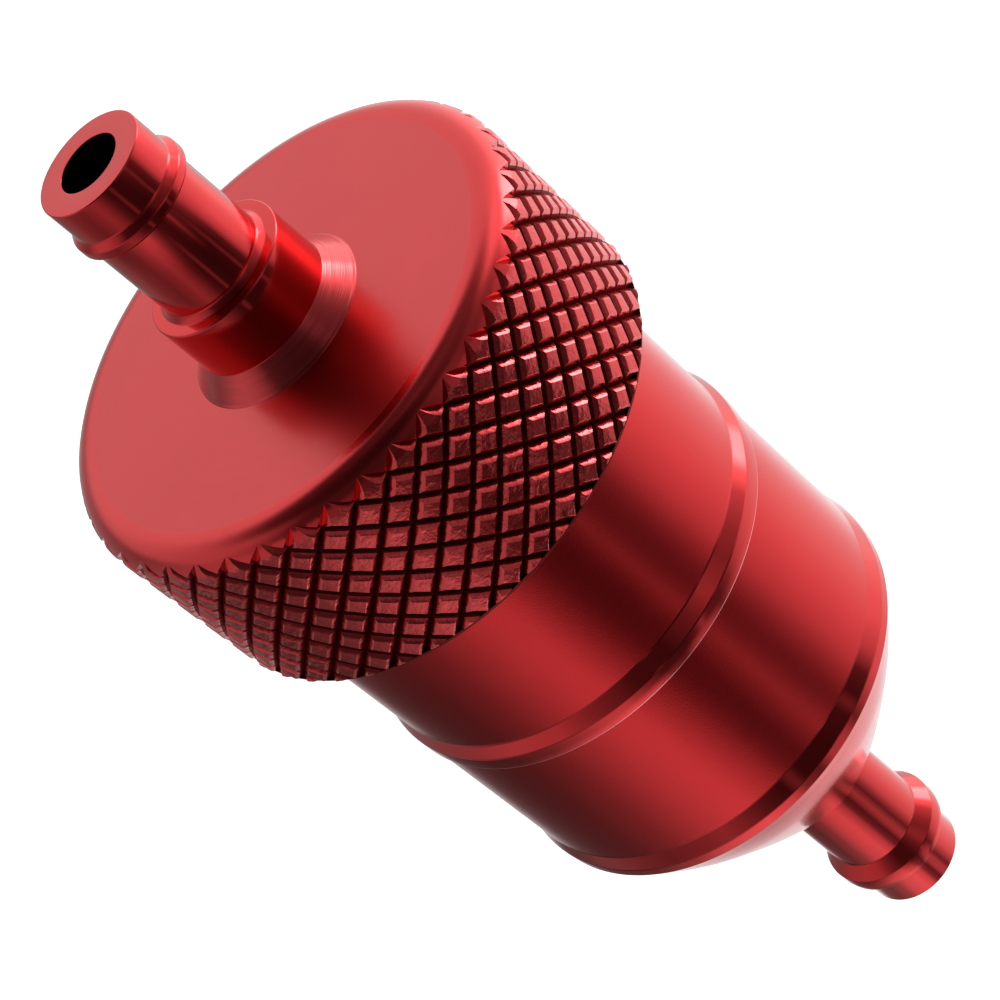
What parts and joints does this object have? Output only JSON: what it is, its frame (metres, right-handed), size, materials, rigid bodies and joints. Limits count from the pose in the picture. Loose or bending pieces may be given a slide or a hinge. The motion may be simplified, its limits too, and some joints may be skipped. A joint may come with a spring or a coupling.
{
  "type": "inline fuel filter",
  "caption": "Inline fuel filter: knurled screw cap and turned barrel with hose barbs, holding a sprung pleated mesh element.",
  "frame": {"origin": "centre of the outlet barb's end face, where the outlet hose holds the filter", "axes": "+Z along the flow axis from the outlet barb to the inlet barb; X and Y are across it"},
  "size_m": [0.0294, 0.0294, 0.075],
  "materials": {
    "anodised_aluminium": "satin red anodised",
    "black_rubber": "smooth moulded nitrile",
    "plain_aluminium": "turned, not anodised",
    "stainless_steel": "bright drawn",
    "woven_wire": "fine woven stainless wire",
    "potting_resin": "cured amber epoxy",
    "brass_sheet": "stamped"
  },
  "bodies": {
    "barrel": {"barrel": "anodised_aluminium", "cap_o_ring": "black_rubber"},
    "element": {"element_seal": "black_rubber", "outlet_collar": "plain_aluminium", "core_tube": "stainless_steel", "pleated_mesh": "woven_wire", "lower_potting": "potting_resin", "upper_potting": "potting_resin", "closed_end": "plain_aluminium"},
    "spring_seat": {"spring_seat_washer": "brass_sheet", "spring": "stainless_steel"},
    "cap": {"inlet_cap": "anodised_aluminium"}
  },
  "joints": [
    {"name": "cap_lift", "type": "slide", "parent": "barrel", "child": "spring_seat", "axis": [0, 0, 1], "range_m": [0, 0.006]},
    {"name": "cap_turn", "type": "hinge", "parent": "spring_seat", "child": "cap", "pos_m": [0, 0, 0.05], "axis": [0, 0, 1], "range_deg": [0, 1440]},
    {"name": "element_lift", "type": "slide", "parent": "barrel", "child": "element", "axis": [0, 0, 1], "range_m": [0, 0.002], "stiffness_N_per_m": 800, "springref_m": -0.004, "deforming": ["spring"]}
  ],
  "couplings": [
    {"joint": "cap_lift", "follows": "cap_turn", "m_per_rad": 0.00023873}
  ]
}
